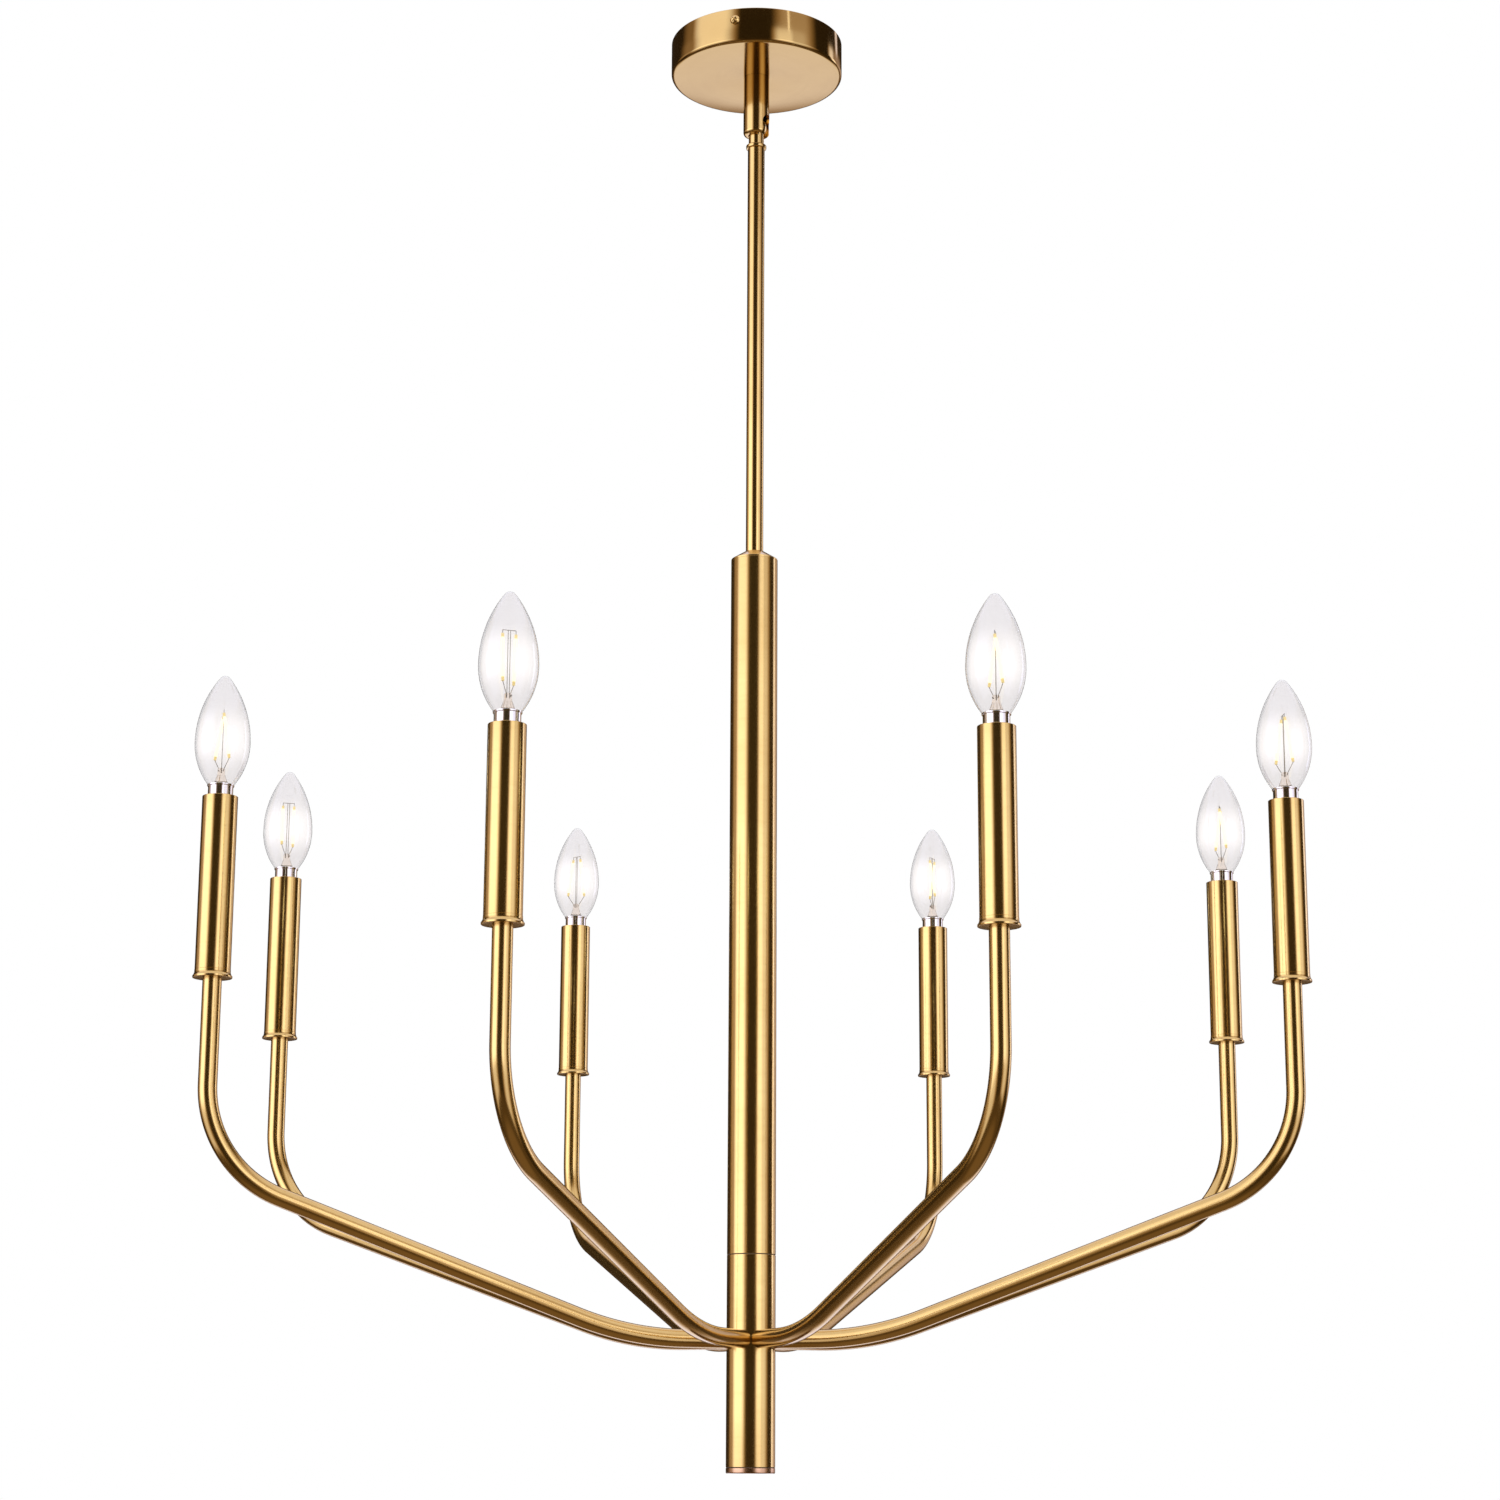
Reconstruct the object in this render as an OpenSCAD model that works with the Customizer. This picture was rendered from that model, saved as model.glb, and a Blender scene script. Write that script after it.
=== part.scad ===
// Multi arm chandelier: a ceiling canopy with a slotted swivel barrel, a stem, a straight column,
// and curved arms that each carry a candle sleeve and a candle lamp.
// The origin is the middle of the ceiling plane, +Z points up into the ceiling.

/* [Overall] */
// Drop from the ceiling to the foot of the column
drop = 1000; // [940:1:1060]
// Radius of the circle that the candles stand on
candle_circle_r = 365; // [330:1:400]
// Number of arms, evenly spaced
arm_count = 8; // [8]
// Direction of the first arm, measured about +Z from -Y
first_arm_az = -22.5; // [-45:0.5:45]

/* [Canopy] */
// Outside diameter of the canopy
canopy_d = 122; // [118:1:130]
// Height of the canopy
canopy_h = 25.4; // [22:0.1:32]
// Wall thickness of the spun canopy
canopy_wall = 1.2; // [1:0.1:2]
// Radius of the canopy's lower edge
canopy_edge_r = 2.6; // [2:0.1:4]
// Direction of the crossbar and of the two canopy screws, about +Z from -Y
screw_az = -14.4; // [-45:0.1:45]
// Depth of the canopy screws below the ceiling
screw_drop = 8.6; // [7:0.1:12]

/* [Crossbar] */
// Width of the crossbar strip
bar_w = 24; // [20:1:28]
// Thickness of the crossbar strip
bar_t = 2; // [1.5:0.1:2.5]
// Distance between the two ceiling box screws
box_pitch = 88.9; // [88:0.1:90]
// Diameter of the holes for the ceiling box screws
box_hole_d = 5.2; // [4.6:0.1:6]

/* [Swivel] */
// Outside diameter of the swivel barrel
barrel_d = 18.5; // [18:0.1:20]
// Distance from the ceiling to the foot of the barrel
barrel_foot = 69.6; // [66:0.1:74]
// Diameter of the swivel ball
ball_d = 15; // [14:0.1:15.5]
// Diameter of the neck below the ball
neck_d = 10.8; // [10:0.1:11]
// Direction of the barrel's slot, about +Z from -Y
slot_az = 67.5; // [0:0.5:180]
// Diameter of the collar between neck and stem
collar_d = 14.4; // [13:0.1:16]
// Distance from the ceiling to the top of the collar
collar_top = 77; // [76:0.1:80]

/* [Stem and column] */
// Outside diameter of the stem
stem_d = 12; // [11.6:0.1:12.8]
// Length of the stem rod, 12 inches
stem_len = 304.8; // [300:0.1:310]
// Outside diameter of the column
column_d = 32; // [32:0.1:34]
// Wall thickness of the column tubes
column_wall = 1.5; // [1.2:0.1:1.6]
// Height of the column cap's cone
cap_cone_h = 6.8; // [5:0.1:9]
// Length of the hub tube below the joint in the column
hub_len = 136; // [120:1:150]
// Thickness of the bottom cap
foot_cap_t = 4; // [3:0.1:6]

/* [Arms] */
// Outside diameter of the arm tube
arm_d = 12; // [11:0.1:12.2]
// Wall thickness of the arm tube
arm_wall = 1.2; // [1:0.1:1.4]
// Height of the arm roots above the foot of the column
root_h = 85; // [75:1:95]
// Length of the level stretch, from the column's axis
level_r = 47.5; // [42:0.5:60]
// Bend radius beside the hub
root_bend_r = 220; // [150:1:240]
// Slope of the straight stretch
slope = 19.2; // [17:0.1:22]
// Bend radius below the candle
rise_bend_r = 72; // [60:1:80]

/* [Candles] */
// Height of the candle cups' lips above the foot of the column
cup_h = 300; // [285:1:320]
// Height of a candle cup
cup_t = 5; // [4:0.1:7]
// Diameter of a cup's flared lip
cup_lip_d = 24.8; // [24:0.1:27]
// Outside diameter of a candle sleeve
sleeve_d = 22.4; // [22:0.1:23]
// Wall thickness of a candle sleeve
sleeve_wall = 1; // [0.8:0.1:1.2]
// Length of a candle sleeve
sleeve_len = 111; // [105:1:120]

/* [Lamps] */
// Largest diameter of the lamp glass
glass_d = 35; // [33:0.1:37]
// Height of the lamp glass above its base
glass_h = 71.3; // [68:0.1:75]
// Thickness of the lamp glass
glass_wall = 0.8; // [0.6:0.1:1]
// Outside diameter of the lamp's screw thread
thread_d = 11.8; // [11.5:0.1:11.9]

/* [Hidden] */
ARM_NAMES = [for (k = [1:arm_count]) str("arm_", k)];
GLASS_NAMES = [for (k = [1:arm_count]) str("lamp_", k, "_glass")];
BASE_NAMES = [for (k = [1:arm_count]) str("lamp_", k, "_base")];
CONTACT_NAMES = [for (k = [1:arm_count]) str("lamp_", k, "_contact")];
$fn = 64;

// Clearances: between threaded or seated pieces, and between pieces that move
seat = 0.05;
play = 0.3;
// Overshoot of a cutting tool past the face it opens
over = 1;
// Radius of the threaded lamp pipe that joins the pieces, and of its bore
pipe_r = 4.95;
pipe_bore_r = 3.4;

// Heights on the main axis
foot_z = -drop;
root_z = foot_z + root_h;
seam_z = foot_z + foot_cap_t + hub_len;
collar_z = -collar_top;
collar_t = 2.8;
stem_top_z = collar_z - collar_t;
stem_foot_z = stem_top_z - stem_len;
stem_seat_depth = 5;
cap_top_z = stem_foot_z + stem_seat_depth;
cap_foot_z = cap_top_z - cap_cone_h;
column_r = column_d / 2;
column_bore_r = column_r - column_wall;

// Crossbar
bar_tab_reach = canopy_d / 2 - canopy_wall - 1.2;
bar_tab_drop = 15;
bar_tab_w = 15;
bar_slot_pitch = 70;
bar_slot_w = 4.8;
bar_slot_len = 8;
bar_centre_r = 5.5;
bar_shoulder = 4;
ground_y = 21;
ground_r = 2.4;
ground_flange_r = 5;
ground_flange_t = 1.8;
ground_hex_r = 4.6;
ground_head_h = 5;
screw_r = 2;
screw_head_r = 3.4;
screw_head_t = 2.4;

// Swivel
barrel_r = barrel_d / 2;
barrel_top_z = -canopy_h - 0.1;
barrel_roof = 5;
barrel_edge_r = 2.4;
ball_r = ball_d / 2;
ball_seat_r = ball_r + 0.06;
neck_r = neck_d / 2;
slot_r = neck_r + play;
mouth_r = slot_r + 0.15;
barrel_lip_t = 1.2;
ball_z = -barrel_foot + barrel_lip_t + sqrt(ball_seat_r * ball_seat_r - mouth_r * mouth_r);
slot_top_z = -55;
washer_t = 0.8;
washer_r = 9;
nut_t = 4;
nut_r = 8.1;
canopy_hole_r = pipe_r + play;
floor_z = -canopy_h + canopy_wall;
nipple_top_z = floor_z + washer_t + nut_t + 4;

// Column insides
sleeve_half = 15;
spigot_len = 8;
cluster_r = column_bore_r - seat;
cluster_bore_r = 10;
cluster_h = 16;
cluster_web = 4;
arm_nipple_r = 4;
arm_nipple_bore_r = 2.4;
arm_nipple_in = 10.2;
arm_nipple_out = 28;
arm_plug_reach = 34;
pipe_nut_r = 8;
wire_window_h = 20;
wire_window_w = 5;

// Arms
arm_r = arm_d / 2;
arm_bore_r = arm_r - arm_wall;
root_bend_end_r = level_r + root_bend_r * sin(slope);
rise_bend_start_r = candle_circle_r - rise_bend_r * (1 - sin(slope));
straight_len = (rise_bend_start_r - root_bend_end_r) / cos(slope);
straight_start_z = root_z + root_bend_r * (1 - cos(slope));
straight_end_z = straight_start_z + straight_len * sin(slope);
rise_z = straight_end_z + rise_bend_r * cos(slope);
bend_swell = 0.03;
bend_lap = 1;

// Candles, from the cup's lip upwards
lip_z = foot_z + cup_h;
arm_top_z = lip_z + 0.4;
cup_body_r = sleeve_d / 2 + 0.1;
cup_lip_r = cup_lip_d / 2;
cup_flare_r = 4;
sleeve_foot_z = lip_z + cup_t;
sleeve_top_z = sleeve_foot_z + sleeve_len;
sleeve_bore_r = sleeve_d / 2 - sleeve_wall;
cup_boss_r = sleeve_bore_r - seat;
cup_boss_h = 3;
nipple_r = arm_bore_r - seat;
nipple_bore_r = 3.2;
candle_nipple_foot = lip_z - 12;
candle_nipple_top = lip_z + 16;
bracket_foot_z = lip_z + cup_t + cup_boss_h;
bracket_foot_t = 5;
bracket_strip_t = 1.2;
bracket_strip_w = 8;
bracket_strip_x = 7.6;
socket_r = 9.7;
socket_top_z = sleeve_top_z - 5;
socket_h = 31;
socket_foot_z = socket_top_z - socket_h;
socket_cup_r = 7;
socket_cup_depth = 19;
socket_floor_z = socket_top_z - socket_cup_depth;
shell_r = socket_cup_r - seat;
shell_wall = 0.5;
shell_h = 16;

// Lamps, from the sleeve's top edge
glass_foot_z = sleeve_top_z + 7.5;
glass_neck_r = 8.2;
glass_wide_z = glass_foot_z + 27.5;
glass_tip_r = 4.2;
collar_lip_r = 8.5;
base_collar_r = 7.9;
collar_lip_t = 1;
thread_top_z = sleeve_top_z - 3;
thread_len = 12;
thread_foot_z = thread_top_z - thread_len;
base_wall = 0.6;
insulator_h = 2.2;
contact_r = 2.4;
contact_h = 1;
insulator_foot_r = 3.6;
contact_foot_z = thread_foot_z - insulator_h - contact_h;

BRASS = "#c9a05a";
BRASS_DARK = "#8a6a38";
STEEL = "#b9bcc0";
NICKEL = "#e3dcc8";

// Direction of arm k, as a turn about +Z from -Y
function arm_az(k) = first_arm_az + (k - 1) * 360 / arm_count;

// Turns a shape drawn along -Y to the azimuth az, with its own +X across the direction
module facing(az) {
    rotate([0, 0, az])
        children();
}

// Carries a shape drawn on the main axis to candle k
module at_candle(k) {
    facing(arm_az(k))
        translate([0, -candle_circle_r, 0])
            children();
}

// Draws its children once at every candle
module each_candle() {
    for (k = [1:arm_count])
        at_candle(k)
            children();
}

// A round bar between two heights
module post(r, z_low, z_high) {
    translate([0, 0, z_low])
        cylinder(r = r, h = z_high - z_low);
}

// A tube between two heights
module pipe(r, bore, z_low, z_high) {
    difference() {
        post(r, z_low, z_high);
        post(bore, z_low - over, z_high + over);
    }
}

// A hexagonal nut between two heights; r is its corner radius
module hex_nut(r, bore, z_low, z_high) {
    difference() {
        translate([0, 0, z_low])
            cylinder(r = r, h = z_high - z_low, $fn = 6);
        post(bore, z_low - over, z_high + over);
    }
}

// --- Ceiling set ---

// Half of the crossbar's outline below the strip: a tab that takes the canopy screw
module bar_tab() {
    translate([-bar_tab_w / 2, -bar_tab_reach, -bar_tab_drop])
        cube([bar_tab_w, bar_t, bar_tab_drop]);
}

module bar_slot() {
    run = bar_slot_len - bar_slot_w;
    for (side = [-1, 1])
        translate([0, side * run / 2, -bar_t - over])
            cylinder(d = bar_slot_w, h = bar_t + 2 * over);
    translate([-bar_slot_w / 2, -run / 2, -bar_t - over])
        cube([bar_slot_w, run, bar_t + 2 * over]);
}

module crossbar() {
    color(STEEL)
    facing(screw_az)
    difference() {
        union() {
            translate([-bar_w / 2, -bar_tab_reach + bar_shoulder, -bar_t])
                cube([bar_w, 2 * (bar_tab_reach - bar_shoulder), bar_t]);
            translate([-bar_tab_w / 2, -bar_tab_reach, -bar_t])
                cube([bar_tab_w, 2 * bar_tab_reach, bar_t]);
            for (turn = [0, 180])
                rotate([0, 0, turn])
                    bar_tab();
        }
        post(bar_centre_r, -bar_t - over, over);
        for (side = [-1, 1])
            translate([0, side * box_pitch / 2, -bar_t - over])
                cylinder(d = box_hole_d, h = bar_t + 2 * over);
        for (side = [-1, 1])
            translate([0, side * bar_slot_pitch / 2, 0])
                bar_slot();
        translate([0, ground_y, -bar_t - over])
            cylinder(r = ground_r + seat, h = bar_t + 2 * over);
        translate([0, -canopy_d / 2, -screw_drop])
            rotate([-90, 0, 0])
                cylinder(r = screw_r + seat, h = canopy_d);
    }
}

// Hexagon washer-head screw for the earth wire, driven up through the crossbar
module ground_screw() {
    color("#4f9a52")
    facing(screw_az)
    translate([0, ground_y, 0]) {
        post(ground_r, -bar_t - ground_flange_t / 2, 0);
        post(ground_flange_r, -bar_t - ground_flange_t, -bar_t);
        translate([0, 0, -bar_t - ground_head_h])
            cylinder(r = ground_hex_r, h = ground_head_h - ground_flange_t / 2, $fn = 6);
    }
}

// Cross-section of a round-edged pan from the main axis out to r, with its rim at z = 0
module pan_section(r, depth, edge_r) {
    translate([0, -depth])
        square([r - edge_r, depth]);
    translate([0, edge_r - depth])
        square([r, depth - edge_r]);
    translate([r - edge_r, edge_r - depth])
        circle(r = edge_r);
}

// Cross-section of the canopy's wall
module canopy_section() {
    inner_r = canopy_d / 2 - canopy_wall;
    difference() {
        pan_section(canopy_d / 2, canopy_h, canopy_edge_r);
        pan_section(inner_r, canopy_h - canopy_wall, canopy_edge_r - canopy_wall);
        translate([0, -over])
            square([inner_r, 2 * over]);
    }
}

module canopy() {
    color(BRASS)
    difference() {
        rotate_extrude($fn = 128)
            canopy_section();
        post(canopy_hole_r, -canopy_h - over, 0);
        facing(screw_az)
            for (turn = [0, 180])
                rotate([90, 0, turn])
                    translate([0, -screw_drop, canopy_d / 2 - 2 * canopy_wall])
                        cylinder(r = screw_r + 0.2, h = 4 * canopy_wall);
    }
}

// One round-head screw pointing at the main axis, with a cross recess
module canopy_screw() {
    shank = 8;
    recess_depth = 0.9;
    recess_len = 4;
    recess_w = 0.8;
    dome_r = 4;
    translate([0, -canopy_d / 2 - seat, -screw_drop])
        rotate([90, 0, 0])
            difference() {
                union() {
                    translate([0, 0, -shank])
                        cylinder(r = screw_r, h = shank);
                    intersection() {
                        cylinder(r = screw_head_r, h = screw_head_t);
                        translate([0, 0, screw_head_t - dome_r])
                            sphere(r = dome_r);
                    }
                }
                for (turn = [45, 135])
                    rotate([0, 0, turn])
                        translate([-recess_len / 2, -recess_w / 2, screw_head_t - recess_depth])
                            cube([recess_len, recess_w, 2 * recess_depth]);
            }
}

module canopy_screws() {
    color(BRASS)
    facing(screw_az)
        for (turn = [0, 180])
            rotate([0, 0, turn])
                canopy_screw();
}

// --- Barrel set ---

// Half section of the barrel: a round-edged foot, the ball's seat above a round mouth, and a
// tapped roof
module barrel_section() {
    roof_z = barrel_top_z - barrel_roof;
    difference() {
        union() {
            translate([0, -barrel_foot + barrel_edge_r])
                square([barrel_r, barrel_top_z + barrel_foot - barrel_edge_r]);
            translate([0, -barrel_foot])
                square([barrel_r - barrel_edge_r, 2 * barrel_edge_r]);
            translate([barrel_r - barrel_edge_r, -barrel_foot + barrel_edge_r])
                circle(r = barrel_edge_r);
        }
        translate([0, roof_z - over])
            square([pipe_r + seat, barrel_roof + 2 * over]);
        translate([0, ball_z])
            square([ball_seat_r, roof_z - ball_z]);
        translate([0, ball_z])
            circle(r = ball_seat_r);
        translate([0, -barrel_foot - over])
            square([mouth_r, ball_z + barrel_foot + over]);
    }
}

// Slotted barrel: the ball rests on its lip, and the neck can lean out through the slot
module swivel_barrel() {
    slot_arc_z = slot_top_z - slot_r;
    color(BRASS)
    difference() {
        rotate_extrude()
            barrel_section();
        facing(slot_az)
            rotate([90, 0, 0])
                linear_extrude(barrel_r + over) {
                    translate([0, slot_arc_z])
                        circle(r = slot_r);
                    translate([-slot_r, -barrel_foot - over])
                        square([2 * slot_r, slot_arc_z + barrel_foot + over]);
                }
    }
}

module canopy_nipple() {
    color(STEEL)
    pipe(pipe_r, pipe_bore_r, barrel_top_z - barrel_roof, nipple_top_z);
}

// Toothed lock washer
module lock_washer() {
    tooth_count = 12;
    tooth = 1.2;
    color(STEEL)
    difference() {
        post(washer_r, floor_z + 0.1, floor_z + washer_t);
        post(pipe_r + seat, floor_z - over, floor_z + washer_t + over);
        for (k = [1:tooth_count])
            rotate([0, 0, k * 360 / tooth_count])
                translate([washer_r - tooth, -tooth / 2, floor_z - over])
                    cube([2 * tooth, tooth, washer_t + 2 * over]);
    }
}

module canopy_locknut() {
    color(STEEL)
    hex_nut(nut_r, pipe_r + seat, floor_z + washer_t, floor_z + washer_t + nut_t);
}

// --- Stem and column ---

// Ball, neck and the spigot that screws into the stem, with a passage for the leads
module swivel_ball() {
    spigot = 12;
    color(BRASS)
    difference() {
        union() {
            translate([0, 0, ball_z])
                sphere(r = ball_r);
            post(neck_r, collar_z, ball_z);
            post(stem_d / 2 - 1 - seat, stem_top_z - spigot, ball_z);
        }
        post(pipe_bore_r, stem_top_z - spigot - over, ball_z + ball_r + over);
    }
}

module stem_collar() {
    color(BRASS)
    rotate_extrude()
        difference() {
            union() {
                translate([0, stem_top_z])
                    square([collar_d / 2 - 0.8, collar_t]);
                translate([0, stem_top_z + 0.8])
                    square([collar_d / 2, collar_t - 1.6]);
                for (z = [stem_top_z + 0.8, collar_z - 0.8])
                    translate([collar_d / 2 - 0.8, z])
                        circle(r = 0.8);
            }
            translate([0, stem_top_z - over])
                square([stem_d / 2 - 1, collar_t + 2 * over]);
        }
}

module stem_rod() {
    color(BRASS)
    pipe(stem_d / 2, stem_d / 2 - 1, stem_foot_z, stem_top_z);
}

// Shallow cone that closes the column's top; its spigot fits the column's bore
module column_cap() {
    brow = 7;
    edge = 1.2;
    color(BRASS)
    difference() {
        union() {
            rotate_extrude()
                polygon([
                    [0, cap_foot_z],
                    [column_r, cap_foot_z],
                    [column_r, cap_foot_z + edge],
                    [brow, cap_top_z],
                    [0, cap_top_z]
                ]);
            post(column_bore_r - seat, cap_foot_z - spigot_len, cap_foot_z);
        }
        post(stem_d / 2 + seat, stem_foot_z, cap_top_z + over);
        post(pipe_r + seat, cap_foot_z - spigot_len - over, stem_foot_z + over);
    }
}

module column_tube() {
    color(BRASS)
    pipe(column_r, column_bore_r, seam_z, cap_foot_z);
}

// Inner sleeve that joins the column tube to the hub tube
module column_sleeve() {
    color(BRASS_DARK)
    pipe(column_bore_r - seat, column_bore_r - column_wall, seam_z - sleeve_half, seam_z + sleeve_half);
}

// Lower column tube, with a clearance hole for each arm's nipple
module hub_tube() {
    color(BRASS)
    difference() {
        pipe(column_r, column_bore_r, foot_z + foot_cap_t, seam_z);
        for (k = [1:arm_count])
            facing(arm_az(k))
                translate([0, 0, root_z])
                    rotate([90, 0, 0])
                        cylinder(r = arm_nipple_r + seat, h = column_r + over);
    }
}

// Ring with one tapped hole for each arm, and a web that the centre pipe clamps
module arm_cluster() {
    low = root_z - cluster_h / 2 - cluster_web;
    color(BRASS_DARK)
    difference() {
        post(cluster_r, low, root_z + cluster_h / 2);
        post(cluster_bore_r, low + cluster_web, root_z + cluster_h / 2 + over);
        post(pipe_r + seat, low - over, low + cluster_web + over);
        for (k = [1:arm_count])
            facing(arm_az(k))
                translate([0, 0, root_z])
                    rotate([90, 0, 0])
                        cylinder(r = arm_nipple_r + seat, h = column_r + over);
    }
}

// Threaded pipe from the column cap down to the bottom cap, with a window for the leads
module centre_pipe() {
    top = stem_foot_z - 0.5;
    window = cap_foot_z - spigot_len - 10 - wire_window_h;
    color(STEEL)
    difference() {
        pipe(pipe_r, pipe_bore_r, foot_z + 2.5, top);
        translate([-wire_window_w / 2, 0, window])
            cube([wire_window_w, pipe_r + over, wire_window_h]);
    }
}

// Nuts above and below the cluster's web
module pipe_nuts() {
    low = root_z - cluster_h / 2 - cluster_web;
    color(STEEL) {
        hex_nut(pipe_nut_r, pipe_r + seat, low - nut_t, low);
        hex_nut(pipe_nut_r, pipe_r + seat, low + cluster_web, low + cluster_web + nut_t);
    }
}

module bottom_cap() {
    edge = 0.8;
    color(BRASS)
    difference() {
        union() {
            rotate_extrude() {
                translate([0, foot_z + edge])
                    square([column_r, foot_cap_t - edge]);
                translate([0, foot_z])
                    square([column_r - edge, foot_cap_t]);
                translate([column_r - edge, foot_z + edge])
                    circle(r = edge);
            }
            post(column_bore_r - seat, foot_z + foot_cap_t, foot_z + foot_cap_t + spigot_len);
        }
        post(pipe_r + seat, foot_z + 2, foot_z + foot_cap_t + spigot_len + over);
    }
}

// --- Arms ---

module arm_nipples() {
    color(STEEL)
    for (k = [1:arm_count])
        facing(arm_az(k))
            translate([0, 0, root_z])
                rotate([90, 0, 0])
                    pipe(arm_nipple_r, arm_nipple_bore_r, arm_nipple_in, arm_nipple_out);
}

// A quarter-plane bend of tube radius r: centre at [y, z], bend radius bend, from angle a0, over da
module bend(r, y, z, bend_r, a0, da) {
    translate([0, -y, z])
        rotate([90, 0, -90])
            rotate([0, 0, a0])
                rotate_extrude(angle = da, $fn = 96)
                    translate([bend_r, 0])
                        circle(r = r);
}

// Solid bar of radius r along the arm's centreline, from start_r out to height top_z. The bends
// swell by a hair, as a bent tube does, and the straights run a short way into them.
module arm_run(r, start_r, top_z) {
    translate([0, -start_r, root_z])
        rotate([90, 0, 0])
            cylinder(r = r, h = level_r - start_r + bend_lap);
    bend(r + bend_swell, level_r, root_z + root_bend_r, root_bend_r, -90, slope);
    translate([0, -root_bend_end_r, straight_start_z])
        rotate([90 - slope, 0, 0])
            translate([0, 0, -bend_lap])
                cylinder(r = r, h = straight_len + 2 * bend_lap);
    bend(r + bend_swell, candle_circle_r - rise_bend_r, rise_z, rise_bend_r, slope - 90, 90 - slope);
    translate([0, -candle_circle_r, rise_z - bend_lap])
        cylinder(r = r, h = top_z - rise_z + bend_lap);
}

// One arm: a bent tube, coped to the column, with a plugged and tapped root
module arm(k) {
    color(BRASS)
    facing(arm_az(k))
    difference() {
        arm_run(arm_r, column_r - 4, arm_top_z);
        difference() {
            arm_run(arm_bore_r, column_r - 4, arm_top_z + over);
            translate([0, 0, root_z])
                rotate([90, 0, 0])
                    cylinder(r = arm_r, h = arm_plug_reach);
        }
        translate([0, 0, root_z])
            rotate([90, 0, 0])
                cylinder(r = arm_nipple_r + seat, h = arm_plug_reach + over);
        post(column_r, root_z - 2 * arm_r, root_z + 2 * arm_r);
    }
}

// --- Candles ---

// Flared cup under a candle sleeve, with a boss that centres the sleeve
module candle_cup() {
    rotate_extrude()
        difference() {
            union() {
                translate([0, lip_z])
                    square([cup_lip_r, cup_t]);
                translate([0, lip_z])
                    square([cup_boss_r, cup_t + cup_boss_h]);
            }
            translate([cup_body_r + cup_flare_r, lip_z + cup_t - 1])
                circle(r = cup_flare_r);
            translate([cup_body_r, lip_z + cup_t - 1])
                square([cup_flare_r, cup_flare_r]);
            translate([0, lip_z - over])
                square([arm_r + seat, over + 0.4]);
            translate([0, lip_z - over])
                square([nipple_r + seat, cup_t + cup_boss_h + 2 * over]);
        }
}

module candle_cups() {
    color(BRASS)
    each_candle()
        candle_cup();
}

module candle_nipples() {
    color(STEEL)
    each_candle()
        pipe(nipple_r, nipple_bore_r, candle_nipple_foot, candle_nipple_top);
}

// Bent steel strip between the cup and the socket, tapped for the nipple
module socket_bracket() {
    difference() {
        union() {
            post(8, bracket_foot_z, bracket_foot_z + bracket_foot_t);
            translate([bracket_strip_x - bracket_strip_t, -bracket_strip_w / 2, bracket_foot_z])
                cube([bracket_strip_t, bracket_strip_w, socket_foot_z - bracket_foot_z]);
            translate([-5, -bracket_strip_w / 2, socket_foot_z - bracket_strip_t])
                cube([5 + bracket_strip_x, bracket_strip_w, bracket_strip_t]);
        }
        post(nipple_r + seat, bracket_foot_z - over, bracket_foot_z + bracket_foot_t + over);
    }
}

module socket_brackets() {
    color(STEEL)
    each_candle()
        socket_bracket();
}

// Moulded socket body, open at the top for the screw shell
module socket_bodies() {
    color("#2b2a28")
    each_candle()
        difference() {
            post(socket_r, socket_foot_z, socket_top_z);
            post(socket_cup_r, socket_floor_z, socket_top_z + over);
        }
}

module socket_shells() {
    color(NICKEL)
    each_candle()
        pipe(shell_r, shell_r - shell_wall, socket_top_z - 0.5 - shell_h, socket_top_z - 0.5);
}

// Sprung centre contact on a post
module socket_contacts() {
    tab_z = contact_foot_z - play;
    color(BRASS)
    each_candle() {
        post(1.2, socket_floor_z, tab_z - 0.6);
        post(3, tab_z - 0.6, tab_z);
    }
}

module candle_sleeves() {
    color(BRASS)
    each_candle()
        pipe(sleeve_d / 2, sleeve_bore_r, sleeve_foot_z, sleeve_top_z);
}

// --- Lamps ---

// Half outline of a candle lamp glass: a round belly below its widest height, a long arc above
// it, and a round tip that the arc runs into. inset moves the outline inwards.
module glass_section(inset) {
    wide_r = glass_d / 2;
    belly_h = glass_wide_z - glass_foot_z;
    belly_r = (pow(belly_h, 2) + pow(wide_r - glass_neck_r, 2)) / (2 * (wide_r - glass_neck_r));
    tip_h = glass_h - belly_h - glass_tip_r;
    crown_r = (pow(tip_h, 2) + pow(wide_r, 2) - pow(glass_tip_r, 2)) / (2 * (wide_r - glass_tip_r));
    crown_h = crown_r * tip_h / (crown_r - glass_tip_r);
    intersection() {
        translate([wide_r - belly_r, glass_wide_z])
            circle(r = belly_r - inset, $fn = 180);
        translate([0, glass_foot_z])
            square([wide_r, belly_h]);
    }
    intersection() {
        translate([wide_r - crown_r, glass_wide_z])
            circle(r = crown_r - inset, $fn = 180);
        translate([0, glass_wide_z])
            square([wide_r, crown_h]);
    }
    intersection() {
        translate([0, glass_wide_z + tip_h])
            circle(r = glass_tip_r - inset);
        translate([0, glass_wide_z + tip_h])
            square([wide_r, glass_h]);
    }
}

module lamp_glass(k) {
    color("#f2f4f2", 0.4)
    at_candle(k)
        rotate_extrude()
            difference() {
                glass_section(0);
                glass_section(glass_wall);
            }
}

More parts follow.
